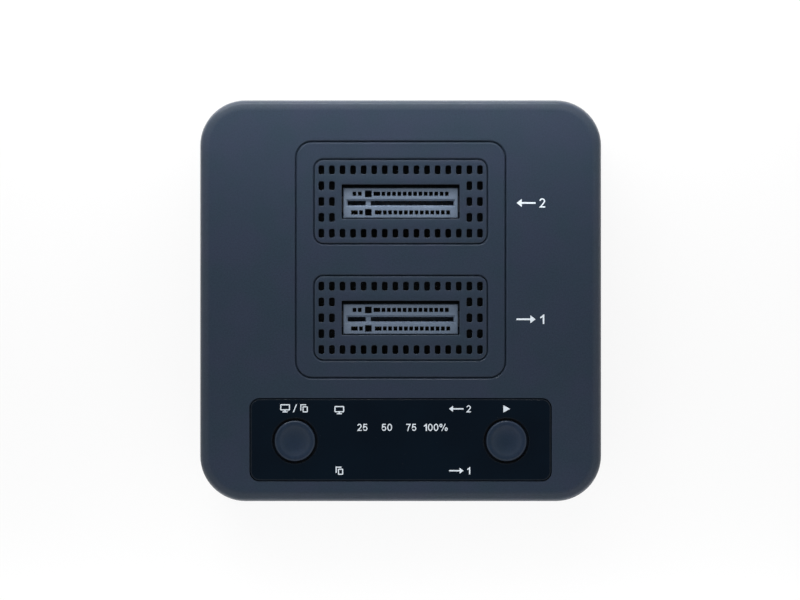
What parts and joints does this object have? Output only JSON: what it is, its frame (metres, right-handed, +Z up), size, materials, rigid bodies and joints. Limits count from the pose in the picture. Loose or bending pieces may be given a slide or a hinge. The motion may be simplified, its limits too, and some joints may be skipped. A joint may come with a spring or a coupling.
{
  "type": "drive duplicator",
  "caption": "Square desktop dock with two upright M.2 drive sockets in vented bezels, a glossy control strip with two push buttons, and rear power and data ports.",
  "frame": {"origin": "middle of the case's footprint, on the surface that the feet stand on", "axes": "+Z up through the card sockets, +Y to the rear wall with the ports, +X to the right seen from the buttons"},
  "size_m": [0.076, 0.076, 0.0286],
  "materials": {
    "case_plastic": "matte blue-grey",
    "button_plastic": "satin, a shade darker than the case",
    "lens_gloss": "gloss near-black",
    "socket_plastic": "satin slate grey",
    "contact_metal": "gold flash",
    "steel": "satin",
    "black_plastic": "matte black",
    "board": "black solder mask",
    "foot_rubber": "matte black",
    "tape": "adhesive film",
    "lamp_plastic": "clear encapsulant",
    "can_aluminium": "satin",
    "ferrite": "sintered grey"
  },
  "bodies": {
    "housing": {"top_cover": "case_plastic", "bottom_cover": "case_plastic", "slot_panel": "case_plastic", "source_bezel": "case_plastic", "target_bezel": "case_plastic", "control_lens": "lens_gloss", "lens_tape": "tape", "light_block": "black_plastic", "status_lamps": "lamp_plastic", "source_socket": "socket_plastic", "target_socket": "socket_plastic", "source_contacts": "contact_metal", "target_contacts": "contact_metal", "socket_hold_downs": "steel", "case_screws": "steel", "rubber_feet": "foot_rubber", "main_board": "board", "bridge_chips": "black_plastic", "clone_controller": "black_plastic", "crystals": "steel", "flash_chip": "black_plastic", "power_inductors": "ferrite", "capacitor_bases": "black_plastic", "capacitor_cans": "can_aluminium", "regulators": "black_plastic", "ceramic_capacitors": "ferrite", "mode_switch_body": "black_plastic", "start_switch_body": "black_plastic", "tact_covers": "steel", "tact_leads": "steel", "power_jack_housing": "black_plastic", "power_jack_pin": "contact_metal", "power_jack_spring": "steel", "usb_c_shell": "steel", "usb_c_tongue": "black_plastic", "usb_c_contacts": "contact_metal", "power_switch_body": "black_plastic"},
    "mode_button": {"mode_button": "button_plastic", "mode_switch_plunger": "black_plastic"},
    "start_button": {"start_button": "button_plastic", "start_switch_plunger": "black_plastic"},
    "power_button": {"power_button": "button_plastic", "power_switch_shaft": "black_plastic"}
  },
  "joints": [
    {"name": "mode_button_press", "type": "slide", "parent": "housing", "child": "mode_button", "axis": [0, 0, -1], "range_m": [0, 0.0003], "stiffness_N_per_m": 500, "springref_m": -0.0005},
    {"name": "start_button_press", "type": "slide", "parent": "housing", "child": "start_button", "axis": [0, 0, -1], "range_m": [0, 0.0003], "stiffness_N_per_m": 500, "springref_m": -0.0005},
    {"name": "power_button_press", "type": "slide", "parent": "housing", "child": "power_button", "axis": [0, -1, 0], "range_m": [0, 0.0015], "stiffness_N_per_m": 400, "springref_m": -0.001}
  ]
}
